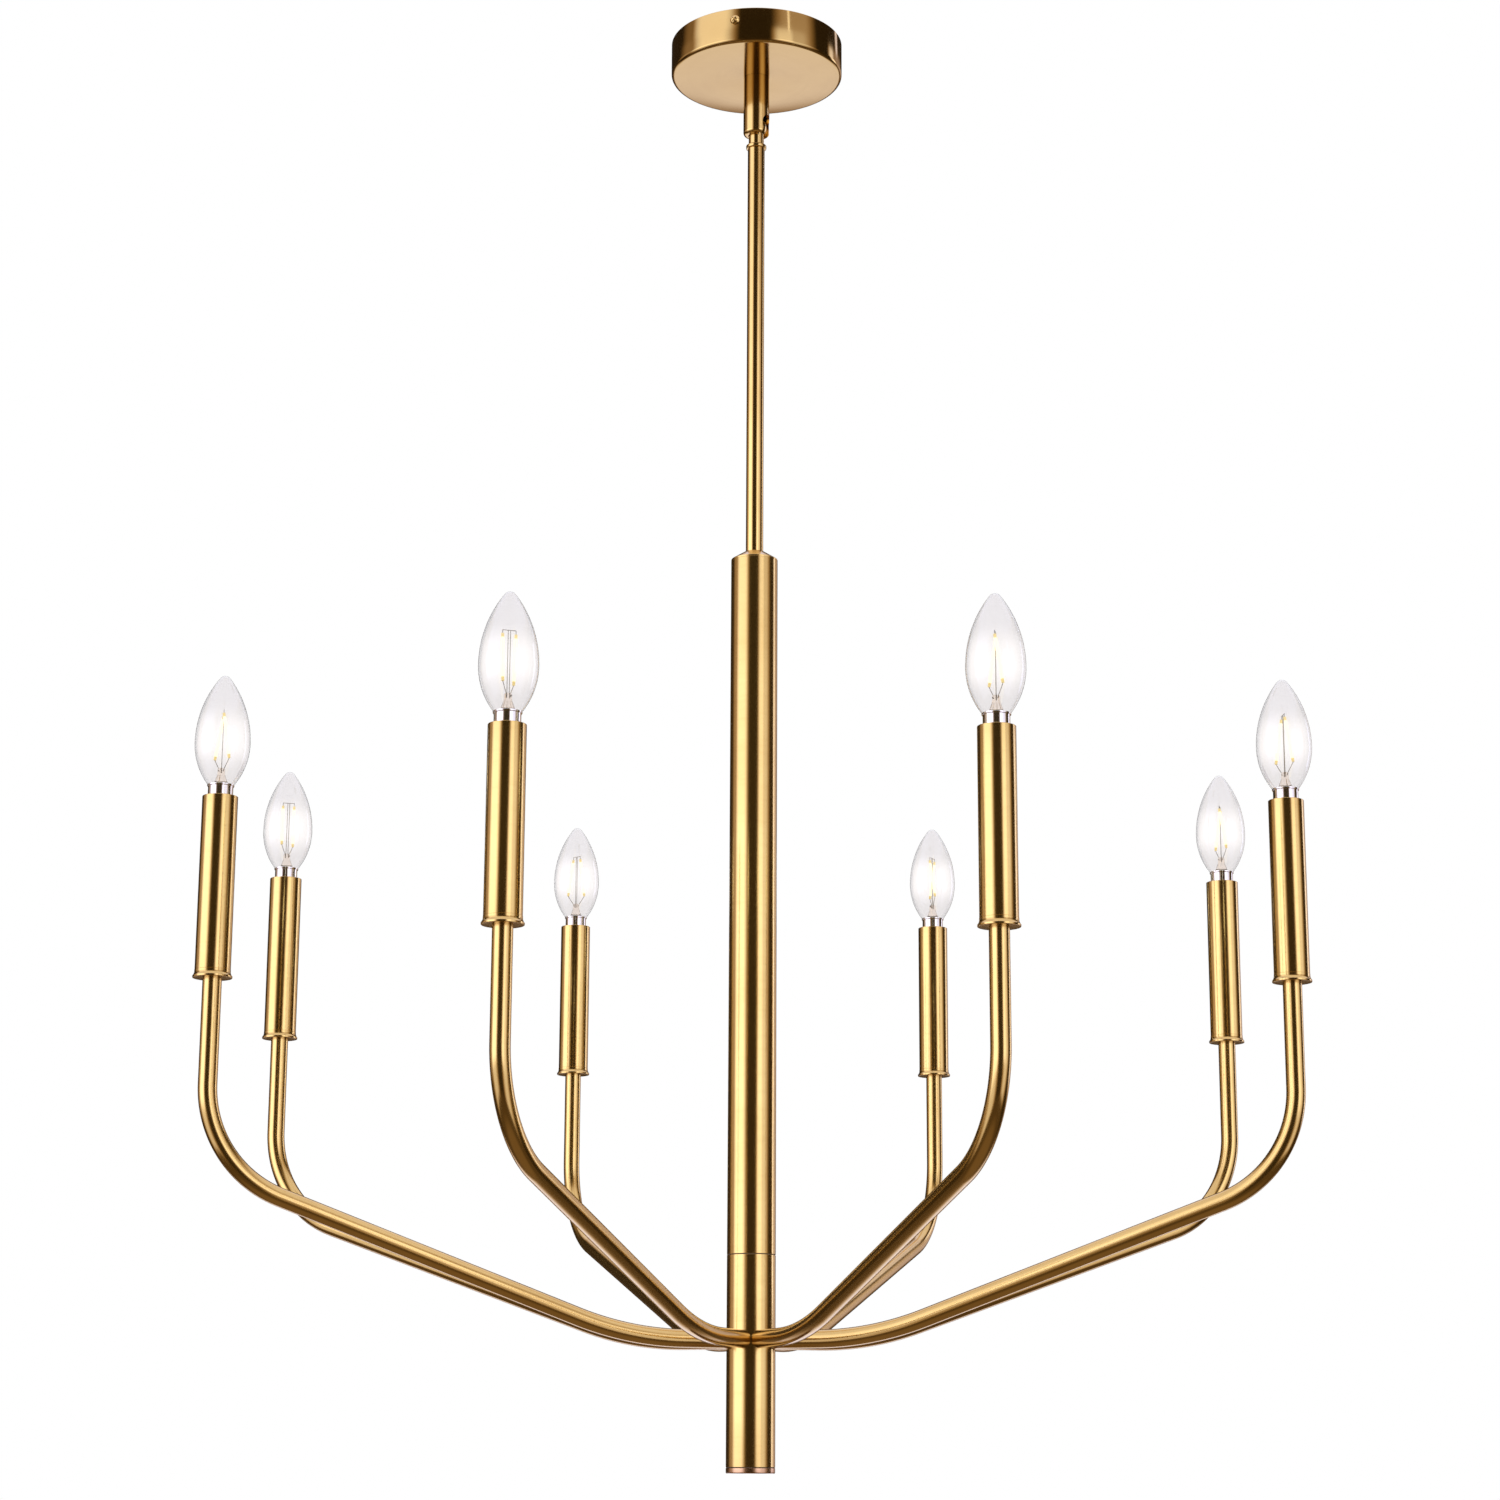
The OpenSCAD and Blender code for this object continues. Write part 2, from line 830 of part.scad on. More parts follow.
// Plated screw base: a collar that holds the glass, and a threaded shell under it
module lamp_base(k) {
    color(NICKEL)
    at_candle(k)
        rotate_extrude()
            difference() {
                union() {
                    translate([0, glass_foot_z - collar_lip_t])
                        square([collar_lip_r, collar_lip_t]);
                    translate([0, thread_top_z])
                        square([base_collar_r, glass_foot_z - thread_top_z - collar_lip_t]);
                    translate([0, thread_foot_z])
                        square([thread_d / 2, thread_len]);
                }
                translate([0, thread_top_z + base_wall])
                    square([base_collar_r - base_wall, glass_foot_z - thread_top_z]);
                translate([0, thread_foot_z - over])
                    square([thread_d / 2 - base_wall, thread_len + 2 * over]);
            }
}

// End contact under its insulator
module lamp_contact(k) {
    plug = 3;
    color(STEEL)
    at_candle(k)
        rotate_extrude()
            polygon([
                [0, contact_foot_z],
                [contact_r, contact_foot_z],
                [contact_r, contact_foot_z + contact_h],
                [insulator_foot_r, contact_foot_z + contact_h],
                [thread_d / 2 - base_wall - seat, thread_foot_z],
                [thread_d / 2 - base_wall - seat, thread_foot_z + plug],
                [0, thread_foot_z + plug]
            ]);
}

crossbar();
ground_screw();
canopy();
canopy_screws();
swivel_barrel();
canopy_nipple();
lock_washer();
canopy_locknut();
swivel_ball();
stem_collar();
stem_rod();
column_cap();
column_tube();
column_sleeve();
hub_tube();
arm_cluster();
centre_pipe();
pipe_nuts();
bottom_cap();
arm_nipples();
candle_cups();
candle_nipples();
socket_brackets();
socket_bodies();
socket_shells();
socket_contacts();
candle_sleeves();
for (k = [1:arm_count]) {
    arm(k);
    lamp_glass(k);
    lamp_base(k);
    lamp_contact(k);
}
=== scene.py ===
import math

import bmesh
import bpy
from mathutils import Matrix, Vector


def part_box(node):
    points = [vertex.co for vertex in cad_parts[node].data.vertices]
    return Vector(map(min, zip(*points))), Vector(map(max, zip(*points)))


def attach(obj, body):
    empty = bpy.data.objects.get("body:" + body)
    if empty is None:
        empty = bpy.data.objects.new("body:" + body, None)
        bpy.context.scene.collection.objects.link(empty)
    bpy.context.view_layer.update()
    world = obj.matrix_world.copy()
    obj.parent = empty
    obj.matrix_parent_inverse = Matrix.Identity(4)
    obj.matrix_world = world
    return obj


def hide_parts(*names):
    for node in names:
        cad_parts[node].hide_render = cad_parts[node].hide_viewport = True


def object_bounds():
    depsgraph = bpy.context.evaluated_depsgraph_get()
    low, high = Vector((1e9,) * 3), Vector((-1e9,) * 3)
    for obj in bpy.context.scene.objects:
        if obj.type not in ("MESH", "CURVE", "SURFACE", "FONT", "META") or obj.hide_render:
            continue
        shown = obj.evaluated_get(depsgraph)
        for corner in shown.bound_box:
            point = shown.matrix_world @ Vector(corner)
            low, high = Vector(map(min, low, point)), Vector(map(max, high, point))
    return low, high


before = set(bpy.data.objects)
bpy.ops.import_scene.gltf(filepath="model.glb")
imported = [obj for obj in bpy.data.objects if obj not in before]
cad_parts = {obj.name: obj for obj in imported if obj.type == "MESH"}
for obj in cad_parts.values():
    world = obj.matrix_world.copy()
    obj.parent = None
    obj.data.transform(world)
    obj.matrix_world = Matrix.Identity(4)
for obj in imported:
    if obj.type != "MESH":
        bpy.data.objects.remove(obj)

CAD_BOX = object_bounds()
MM = 0.001
UP = Vector((0.0, 0.0, 1.0))

# ---------------------------------------------------------------------------------------------
# Sizes in mm. Places come from the frame, and shapes from these.
# ---------------------------------------------------------------------------------------------
CANOPY_WALL = 1.2
CANOPY_EDGE_R = 2.6
CANOPY_HOLE_R = 5.25
STEM_WALL = 1.0
COLUMN_WALL = 1.5
CAP_BROW_R = 7.0
CAP_EDGE = 1.2
SOFT_EDGE = 0.15
SLIP_GAP = 0.05
SEAM_GAP = 0.55
SEAM_LAP = 0.1
SEAM_DEPTH = 0.25

ARM_R = 6.0
ARM_ROOT_H = 85.0
ARM_LEVEL_R = 47.5
ARM_ROOT_BEND_R = 220.0
ARM_RISE_BEND_R = 72.0
ARM_SLOPE = math.radians(19.2)
ARM_SINK = 1.0

SLEEVE_WALL = 1.0
CUP_FLARE_R = 4.0
CUP_BODY_R = 11.3
CUP_FLOOR_H = 0.4
CUP_LIP_T = 1.0
CUP_RIM_H = 1.0
CUP_T = 5.0
CUP_BOSS_STEP = 1.15
CUP_BOSS_H = 3.0
CUP_BORE_R = 4.8
SOCKET_BORE_R = 7.0
SOCKET_BORE_H = 19.0

GLASS_WALL = 0.8
GLASS_NECK_R = 8.2
GLASS_WIDE_H = 27.5
GLASS_TIP_R = 4.2
BASE_COLLAR_R = 7.9
BASE_LIP_T = 1.0
BASE_LIP_W = 0.6
BASE_WALL = 0.6
THREAD_R = 5.9
THREAD_PITCH = 2.54
THREAD_DEPTH = 0.6
THREAD_LEN = 12.0

STICK_R = 0.95
STICK_FOOT_H = 17.0
STICK_TOP_H = 46.0
STICK_FOOT_R = 6.3
STICK_TOP_R = 4.0
STICK_TWIST = math.radians(45)
STICK_TAB = 0.09
STICK_TAB_R = 0.92 * STICK_R
WIRE_R = 0.22
WIRE_PINCH_R = 1.2
WIRE_BRACKET_H = 2.2
POST_R = 0.7
STEM_GLASS_H = 11.0
CEMENT_DEPTH = 5.0
# How far each lamp is turned round in its socket, in degrees.
LAMP_TURNS = [20, 80, 95, 75, 60, 135, 15, 100]


# ---------------------------------------------------------------------------------------------
# Shape tools
# ---------------------------------------------------------------------------------------------
def rounded(points, closed=True, steps=8):
    """Outline through (x, y, corner radius) points, with an arc at each corner that has a radius."""
    outline = []
    count = len(points)
    for i, (x, y, radius) in enumerate(points):
        here = Vector((x, y))
        if radius <= 0 or (not closed and i in (0, count - 1)):
            outline.append(here)
            continue
        before = (Vector(points[i - 1][:2]) - here).normalized()
        after = (Vector(points[(i + 1) % count][:2]) - here).normalized()
        half = before.angle(after) / 2
        centre = here + (before + after).normalized() * radius / math.sin(half)
        start = here + before * radius / math.tan(half) - centre
        end = here + after * radius / math.tan(half) - centre
        begin = math.atan2(start.y, start.x)
        turn = (math.atan2(end.y, end.x) - begin + math.pi) % (2 * math.pi) - math.pi
        for s in range(steps + 1):
            angle = begin + turn * s / steps
            outline.append(centre + radius * Vector((math.cos(angle), math.sin(angle))))
    return outline


def arc(centre, radius, begin, end, steps):
    """Points on a circle from one angle to another, in radians."""
    angles = [begin + (end - begin) * s / steps for s in range(steps + 1)]
    return [Vector(centre) + radius * Vector((math.cos(a), math.sin(a))) for a in angles]


def distances(points, closed):
    """Length along the points up to each one, in metres, and round to the first again if closed."""
    run = [0.0]
    for a, b in zip(points, points[1:] + points[:1]):
        run.append(run[-1] + (Vector(b) - Vector(a)).length * MM)
    return run if closed else run[:-1]


def skin(mesh, rings, along, closed_run, slot=0):
    """Adds a surface through rings of points in mm. Its UV is the share of a turn and metres along."""
    work = bmesh.new()
    work.from_mesh(mesh)
    uv = work.loops.layers.uv.get("UVMap") or work.loops.layers.uv.new("UVMap")
    size = len(rings[0])
    made = [[work.verts.new([MM * c for c in p]) for p in ring] for ring in rings]
    for i in range(len(rings) if closed_run else len(rings) - 1):
        j = (i + 1) % len(rings)
        for k in range(size):
            m = (k + 1) % size
            face = work.faces.new((made[i][k], made[i][m], made[j][m], made[j][k]))
            face.material_index = slot
            places = [(k, i), (k + 1, i), (k + 1, i + 1), (k, i + 1)]
            for loop, (turn, run) in zip(face.loops, places):
                loop[uv].uv = (turn / size, along[run])
    if not closed_run:
        for ring in (made[0], made[-1]):
            face = work.faces.new(ring)
            face.material_index = slot
    work.to_mesh(mesh)
    work.free()


def tidy(mesh, sharp=35):
    """Joins doubled points, turns faces outwards, and shades all but the sharp edges smooth."""
    work = bmesh.new()
    work.from_mesh(mesh)
    bmesh.ops.remove_doubles(work, verts=work.verts, dist=1e-7)
    bmesh.ops.dissolve_degenerate(work, edges=work.edges, dist=1e-8)
    bmesh.ops.recalc_face_normals(work, faces=work.faces)
    loose = [v for v in work.verts if not v.link_faces]
    bmesh.ops.delete(work, geom=loose, context="VERTS")
    work.to_mesh(mesh)
    work.free()
    mesh.polygons.foreach_set("use_smooth", [True] * len(mesh.polygons))
    mesh.set_sharp_from_angle(angle=math.radians(sharp))
    return mesh


def lathe(name, outline, segments=96, swell=None):
    """Turns a closed outline of (radius, height) in mm about the vertical axis. Where it is given,
    swell(angle, radius, height) is added to the radius, as for a thread."""
    angles = [2 * math.pi * k / segments for k in range(segments)]
    rings = []
    for r, h in outline:
        grown = [r + (swell(a, r, h) if swell else 0.0) for a in angles]
        rings.append([(g * math.cos(a), g * math.sin(a), h) for g, a in zip(grown, angles)])
    mesh = bpy.data.meshes.new(name)
    skin(mesh, rings, distances(outline, True), True)
    work = bmesh.new()
    work.from_mesh(mesh)
    flat = [f for f in work.faces if f.calc_area() < 1e-14]
    bmesh.ops.delete(work, geom=flat, context="FACES")
    work.to_mesh(mesh)
    work.free()
    return tidy(mesh)


def ring_round(centre, side, up, radius, segments):
    """A circle of points round a centre, in the plane of side and up."""
    angles = [2 * math.pi * k / segments for k in range(segments)]
    return [centre + radius * (math.cos(a) * side + math.sin(a) * up) for a in angles]


def sweep(mesh, path, radius, segments, side=None, dome=False, slot=0):
    """Adds a round bar along a path in mm. side is square to a path that lies in one plane."""
    path = [Vector(p) for p in path]
    rings = []
    for i, here in enumerate(path):
        ahead = (path[min(i + 1, len(path) - 1)] - path[max(i - 1, 0)]).normalized()
        across = Vector(side) if side else ahead.orthogonal().normalized()
        rings.append((here, across, ahead.cross(across), ahead, radius))
    if dome:
        for end, sign in ((0, -1), (-1, 1)):
            here, across, up, ahead, _ = rings[end]
            for lift in (0.5, 0.87):
                tip = here + sign * ahead * radius * lift
                extra = (tip, across, up, ahead, radius * math.sqrt(1 - lift * lift))
                rings.insert(0 if end == 0 else len(rings), extra)
    circles = [ring_round(c, a, u, r, segments) for c, a, u, _, r in rings]
    skin(mesh, circles, distances([r[0] for r in rings], False), False, slot)


# ---------------------------------------------------------------------------------------------
# Looks
# ---------------------------------------------------------------------------------------------
class Look:
    """A node material or world under construction."""

    def __init__(self, owner):
        owner.use_nodes = True
        self.owner = owner
        self.tree = owner.node_tree
        self.tree.nodes.clear()

    def node(self, kind, inputs=None, **settings):
        """A new node. Each input is linked to a socket or set to a value."""
        made = self.tree.nodes.new("ShaderNode" + kind)
        for name, value in settings.items():
            setattr(made, name, value)
        for name, value in (inputs or {}).items():
            if isinstance(value, bpy.types.NodeSocket):
                self.tree.links.new(value, made.inputs[name])
            else:
                made.inputs[name].default_value = value
        return made

    def math(self, operation, a, b=0.0, c=0.0):
        """Result of one sum on sockets or numbers."""
        return self.node("Math", {0: a, 1: b, 2: c}, operation=operation).outputs[0]

    def ease(self, value, low, high, to_low=0.0, to_high=1.0):
        """value from low to high, eased into to_low to to_high."""
        spread = {"Value": value, "From Min": low, "From Max": high}
        spread.update({"To Min": to_low, "To Max": to_high})
        made = self.node("MapRange", spread, interpolation_type="SMOOTHSTEP")
        return made.outputs["Result"]

    def noise(self, vector, scale, detail=3.0, rough=0.55):
        """Soft noise between 0 and 1."""
        made = self.node("TexNoise", {"Vector": vector, "Scale": scale, "Detail": detail, "Roughness": rough})
        return made.outputs["Fac"]

    def blend(self, factor, a, b):
        """Colour a turning into colour b."""
        made = self.node("Mix", data_type="RGBA")
        sockets = {"Factor": factor, "A": a, "B": b}
        for socket in made.inputs:
            if socket.name in sockets and (socket.type == "RGBA") == (socket.name in "AB"):
                value = sockets[socket.name]
                if isinstance(value, bpy.types.NodeSocket):
                    self.tree.links.new(value, socket)
                elif socket.enabled:
                    socket.default_value = value
        return next(s for s in made.outputs if s.type == "RGBA")

    def finish(self, shader):
        """Sends the shader to the output, and gives back the material."""
        out = self.node("OutputMaterial")
        self.tree.links.new(shader.outputs[0], out.inputs["Surface"])
        return self.owner


def rgb(red, green, blue):
    """An opaque colour."""
    return (red, green, blue, 1.0)


def turned_place(look, source):
    """Vector that changes slowly round a turned or bent piece, and a length along it in metres."""
    if source == "uv":
        u, v, _ = look.node("SeparateXYZ", {0: look.node("TexCoord").outputs["UV"]}).outputs
        angle = look.math("MULTIPLY", u, 2 * math.pi)
        return look.math("COSINE", angle), look.math("SINE", angle), v
    x, y, z = look.node("SeparateXYZ", {0: look.node("TexCoord").outputs["Object"]}).outputs
    radius = look.math("SQRT", look.math("ADD", look.math("MULTIPLY", x, x), look.math("MULTIPLY", y, y)))
    safe = look.math("MAXIMUM", radius, 0.0005)
    return look.math("DIVIDE", x, safe), look.math("DIVIDE", y, safe), look.math("ADD", z, radius)


def streaks(look, place, pitch, around=1.4, detail=2.0):
    """Noise drawn out round the piece, as a turning brush leaves it, pitch metres from line to line."""
    x, y, run = place
    stretched = {0: look.math("MULTIPLY", x, around), 1: look.math("MULTIPLY", y, around)}
    stretched[2] = look.math("DIVIDE", run, pitch)
    return look.noise(look.node("CombineXYZ", stretched).outputs[0], 1.0, detail)


def brushed(name, tone, shade, polish, source="uv", tarnish=0.3, grain=1.0, coat=0.7):
    """Brushed and lacquered metal: fine lines round the piece, broader bands, and soft clouds of age."""
    look = Look(bpy.data.materials.new(name))
    place = turned_place(look, source)
    fine = streaks(look, place, 0.0007)
    broad = streaks(look, place, 0.0030, around=0.8)
    cloud = look.noise(look.node("TexCoord").outputs["Object"], 16.0, 4.0, 0.6)
    age = look.math("MULTIPLY", look.ease(cloud, 0.38, 0.72), tarnish)
    age = look.math("MULTIPLY_ADD", look.ease(broad, 0.45, 0.75), 0.15 * grain, age)
    colour = look.blend(age, rgb(*tone), rgb(*shade))
    rough = look.math("MULTIPLY_ADD", fine, 0.05 * grain, polish - 0.04 * grain)
    rough = look.math("MULTIPLY_ADD", broad, 0.05 * grain, rough)
    rough = look.math("MULTIPLY_ADD", cloud, 0.04, rough)
    height = look.math("MULTIPLY_ADD", broad, 0.6, fine)
    bump = look.node("Bump", {"Strength": 0.12 * grain, "Distance": 0.00002, "Height": height})
    return look.finish(look.node("BsdfPrincipled", {
        "Base Color": colour,
        "Metallic": 1.0,
        "Roughness": rough,
        "Normal": bump.outputs[0],
        "Coat Weight": coat,
        "Coat Roughness": 0.08,
    }))


def plain_metal(name, tone, shade, polish, scale=140.0, metal=1.0):
    """Plated or dull metal with a fine mottle."""
    look = Look(bpy.data.materials.new(name))
    where = look.node("TexCoord").outputs["Object"]
    mottle = look.noise(where, scale, 5.0, 0.65)
    pits = look.noise(where, scale * 12, 2.0)
    colour = look.blend(look.ease(mottle, 0.35, 0.7), rgb(*tone), rgb(*shade))
    rough = look.math("MULTIPLY_ADD", mottle, 0.16, polish - 0.08)
    bump = look.node("Bump", {"Strength": 0.25, "Distance": 0.00003, "Height": pits})
    return look.finish(look.node("BsdfPrincipled", {
        "Base Color": colour,
        "Metallic": metal,
        "Roughness": rough,
        "Normal": bump.outputs[0],
    }))


def moulded(name, tone, shade, polish):
    """Moulded phenolic or fired cement with a fine grain."""
    look = Look(bpy.data.materials.new(name))
    where = look.node("TexCoord").outputs["Object"]
    grain = look.noise(where, 900.0, 3.0)
    cloud = look.noise(where, 90.0, 4.0)
    colour = look.blend(look.ease(cloud, 0.35, 0.7), rgb(*tone), rgb(*shade))
    bump = look.node("Bump", {"Strength": 0.3, "Distance": 0.00005, "Height": grain})
    return look.finish(look.node("BsdfPrincipled", {
        "Base Color": colour,
        "Roughness": look.math("MULTIPLY_ADD", cloud, 0.2, polish - 0.1),
        "Normal": bump.outputs[0],
    }))


def clear_glass(name, tone, edge, glow):
    """Clear blown glass with painted shade and a painted glow: its colour turns grey where it is seen edge
    on, and the glass itself gives off light around the sticks' height.
    """
    look = Look(bpy.data.materials.new(name))
    where = look.node("TexCoord").outputs["Object"]
    wave = look.noise(where, 45.0, 1.0)
    smear = look.noise(where, 60.0, 4.0)
    bump = look.node("Bump", {"Strength": 0.05, "Distance": 0.0002, "Height": wave})
    upward = look.node("SeparateXYZ", {0: where}).outputs["Z"]
    height = look.math("ABSOLUTE", look.math("SUBTRACT", upward, 0.031))
    lit = look.ease(height, 0.021, 0.005)
    slant = look.node("LayerWeight", {"Blend": 0.35}).outputs["Facing"]
    # painted shade: the colour turns grey where the glass is seen edge on
    depth = look.math("ADD", look.ease(slant, 0.35, 0.95), look.math("MULTIPLY", smear, 0.08))
    # painted glow: the glass gives off light in a band round the sticks' height, most where it faces the eye
    painted_glow = look.math("MULTIPLY", lit, look.ease(slant, 0.6, 0.1))
    return look.finish(look.node("BsdfPrincipled", {
        "Base Color": look.blend(depth, rgb(*tone), rgb(*edge)),
        "Roughness": look.math("MULTIPLY", look.ease(smear, 0.5, 0.8), 0.03),
        "IOR": 1.46,
        "Transmission Weight": 1.0,
        "Normal": bump.outputs[0],
        "Emission Color": look.blend(smear, rgb(1.0, 0.98, 0.94), rgb(1.0, 0.95, 0.88)),
        "Emission Strength": look.math("MULTIPLY", painted_glow, glow),
    }))


def phosphor(name, glow, strength):
    """Yellow phosphor over the light-emitting chips; strength is its light."""
    look = Look(bpy.data.materials.new(name))
    grain = look.noise(look.node("TexCoord").outputs["Object"], 2500.0, 2.0)
    light = {"Base Color": look.blend(grain, rgb(0.85, 0.62, 0.10), rgb(0.95, 0.74, 0.22)), "Roughness": 0.55}
    light["Emission Color"] = look.blend(grain, rgb(*glow), rgb(1.0, 0.93, 0.78))
    light["Emission Strength"] = strength
    return look.finish(look.node("BsdfPrincipled", light))


BRASS = (0.79, 0.535, 0.15)
BRASS_SHADE = (0.58, 0.35, 0.07)
LOOKS = {
    "canopy": brushed("brass_canopy", (0.62, 0.415, 0.125), (0.46, 0.28, 0.07), 0.07, tarnish=0.2,
                      grain=0.4, coat=0.2),
    "rod": brushed("brass_rod", BRASS, BRASS_SHADE, 0.12, grain=0.4),
    "cap": brushed("brass_cap", (0.70, 0.42, 0.20), (0.50, 0.27, 0.12), 0.22, grain=0.6),
    "tube": brushed("brass_tube", BRASS, BRASS_SHADE, 0.14, grain=0.7),
    "arm": brushed("brass_arm", BRASS, BRASS_SHADE, 0.16, tarnish=0.3, grain=0.4),
    "fitting": brushed("brass_fitting", BRASS, BRASS_SHADE, 0.12, source="object", grain=0.4),
    "raw": brushed("brass_raw", (0.66, 0.47, 0.20), (0.45, 0.30, 0.12), 0.34, source="object", tarnish=0.8),
    "steel": plain_metal("zinc_steel", (0.62, 0.63, 0.64), (0.45, 0.46, 0.47), 0.34),
    "green": plain_metal("green_zinc", (0.10, 0.34, 0.13), (0.05, 0.20, 0.07), 0.36, metal=0.7),
    "nickel": brushed("nickel_plate", (0.88, 0.83, 0.68), (0.64, 0.57, 0.44), 0.10, tarnish=0.3, grain=0.4),
    "wire": plain_metal("nickel_wire", (0.42, 0.38, 0.33), (0.22, 0.19, 0.16), 0.3, scale=900.0),
    "tin": plain_metal("tin_contact", (0.55, 0.54, 0.51), (0.36, 0.35, 0.33), 0.42, scale=500.0),
    "phenolic": moulded("phenolic", (0.014, 0.013, 0.012), (0.03, 0.028, 0.025), 0.42),
    "vitrite": moulded("vitrite", (0.012, 0.010, 0.016), (0.03, 0.022, 0.035), 0.22),
    # Painted shadow: the dark rings that fill the column's joints use this look.
    "tarnish": moulded("painted_seam_shadow", (0.05, 0.028, 0.012), (0.09, 0.05, 0.02), 0.7),
    "cement": moulded("base_cement", (0.62, 0.58, 0.50), (0.45, 0.41, 0.34), 0.8),
    # Both glasses carry painted grey shade at their edges; the lamp glass also carries a painted glow near
    # the sticks.
    "glass": clear_glass("lamp_glass", (0.932, 0.914, 0.914), (0.60, 0.62, 0.66), 0.06),
    "stem_glass": clear_glass("stem_glass", (0.97, 0.88, 0.80), (0.72, 0.60, 0.52), 0.0),
    "stick": phosphor("phosphor_lit", (1.0, 0.88, 0.66), 1.1),
    "stick_end": phosphor("phosphor_end", (1.0, 0.72, 0.15), 0.35),
    "nickel_shell": brushed("nickel_shell", (0.86, 0.82, 0.72), (0.62, 0.56, 0.46), 0.2, source="object"),
}


# ---------------------------------------------------------------------------------------------
# Frame
# ---------------------------------------------------------------------------------------------
def span(node):
    """Lowest and highest corner of a CAD node, in mm."""
    low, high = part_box(node)
    return low / MM, high / MM


def place(name, mesh, looks, body, at=(0.0, 0.0, 0.0), turn=0.0, slot=None, instead=()):
    """Puts a piece at a point in mm, turned about the vertical, riding on a CAD body."""
    if not mesh.materials:
        for look in looks.split():
            mesh.materials.append(LOOKS[look])
    piece = bpy.data.objects.new(name, mesh)
    bpy.context.scene.collection.objects.link(piece)
    piece.matrix_world = Matrix.Translation(Vector(at) * MM) @ Matrix.Rotation(turn, 4, "Z")
    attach(piece, body)
    if instead:
        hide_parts(*instead)
    return piece


def candles():
    """Number, axis and azimuth of each candle, from its lamp's base."""
    found = []
    k = 1
    while f"lamp_{k}_base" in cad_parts:
        low, high = span(f"lamp_{k}_base")
        middle = (low + high) / 2
        found.append((k, Vector((middle.x, middle.y, 0.0)), math.atan2(middle.x, -middle.y)))
        k += 1
    return found


CANDLES = candles()


# ---------------------------------------------------------------------------------------------
# Ceiling set, stem and column
# ---------------------------------------------------------------------------------------------
def canopy():
    """The spun pan, open at the ceiling, with a rounded lower edge and a hole for the barrel."""
    low, high = span("canopy")
    r = high.x
    inner = r - CANOPY_WALL
    outline = rounded([
        (CANOPY_HOLE_R, low.z, 0.1),
        (r, low.z, CANOPY_EDGE_R),
        (r, high.z, 0.4),
        (inner, high.z, 0.4),
        (inner, low.z + CANOPY_WALL, CANOPY_EDGE_R - CANOPY_WALL),
        (CANOPY_HOLE_R, low.z + CANOPY_WALL, 0.1),
    ], steps=10)
    mesh = lathe("canopy_fine", outline, segments=192)
    place("canopy_pan", mesh, "canopy", "ceiling_set", slot="brushed_brass", instead=["canopy"])


def ring_piece(name, node, wall, edge, look="tube", gap=0.0):
    """A tube or collar that fills a node's box, with softened edges at both ends and a gap over it."""
    low, high = span(node)
    high.z -= gap
    r = high.x
    outline = rounded([
        (r - wall, low.z, 0.0),
        (r, low.z, edge),
        (r, high.z, edge),
        (r - wall, high.z, 0.0),
    ])
    mesh = lathe(name, outline, 128)
    place(name, mesh, look, "fixture", slot="brushed_brass", instead=[node])


def column_cap():
    """The column's domed top, with the spigot that enters the tube and a bore for the stem."""
    low, high = span("column_cap")
    foot = span("column_tube")[1].z
    bore = high.x - COLUMN_WALL - SLIP_GAP
    stem_r = span("stem_rod")[1].x
    outline = rounded([
        (stem_r - STEM_WALL, low.z, 0.0),
        (bore, low.z, 0.3),
        (bore, foot, 0.0),
        (high.x, foot, SOFT_EDGE),
        (high.x, foot + CAP_EDGE, 0.5),
        (CAP_BROW_R, high.z, 0.3),
        (stem_r + SLIP_GAP, high.z, 0.15),
        (stem_r + SLIP_GAP, foot, 0.0),
        (stem_r - STEM_WALL, foot, 0.0),
    ])
    mesh = lathe("column_cap_fine", outline, 128)
    place("column_top_cap", mesh, "tube", "fixture", slot="brushed_brass", instead=["column_cap"])


def bottom_cap():
    """The disc that closes the column's foot, with the spigot that enters the tube."""
    low, high = span("bottom_cap")
    foot = span("hub_tube")[0].z
    bore = high.x - COLUMN_WALL - SLIP_GAP
    outline = rounded([
        (0.0, low.z, 0.0),
        (high.x, low.z, 0.8),
        (high.x, foot - SEAM_GAP, SOFT_EDGE),
        (bore, foot - SEAM_GAP, 0.0),
        (bore, high.z, 0.3),
        (0.0, high.z, 0.0),
    ])
    mesh = lathe("bottom_cap_fine", outline, 128)
    place("column_foot_cap", mesh, "cap", "fixture", slot="brushed_brass", instead=["bottom_cap"])


def seam(name, above, below):
    """Painted shadow: a dark ring in the gap where one part of the column sits on the next, standing for the
    shade in the joint.
    """
    low, high = span(above)
    foot = low.z
    r = high.x
    inner = r - COLUMN_WALL + SEAM_LAP
    outer = r - SEAM_DEPTH
    outline = rounded([
        (inner, foot - SEAM_GAP - SEAM_LAP, 0.0),
        (outer, foot - SEAM_GAP - SEAM_LAP, 0.0),
        (outer, foot + SEAM_LAP, 0.0),
        (inner, foot + SEAM_LAP, 0.0),
    ])
    place(name, lathe(name, outline, 128), "tarnish", "fixture", slot="brushed_brass", instead=[below])


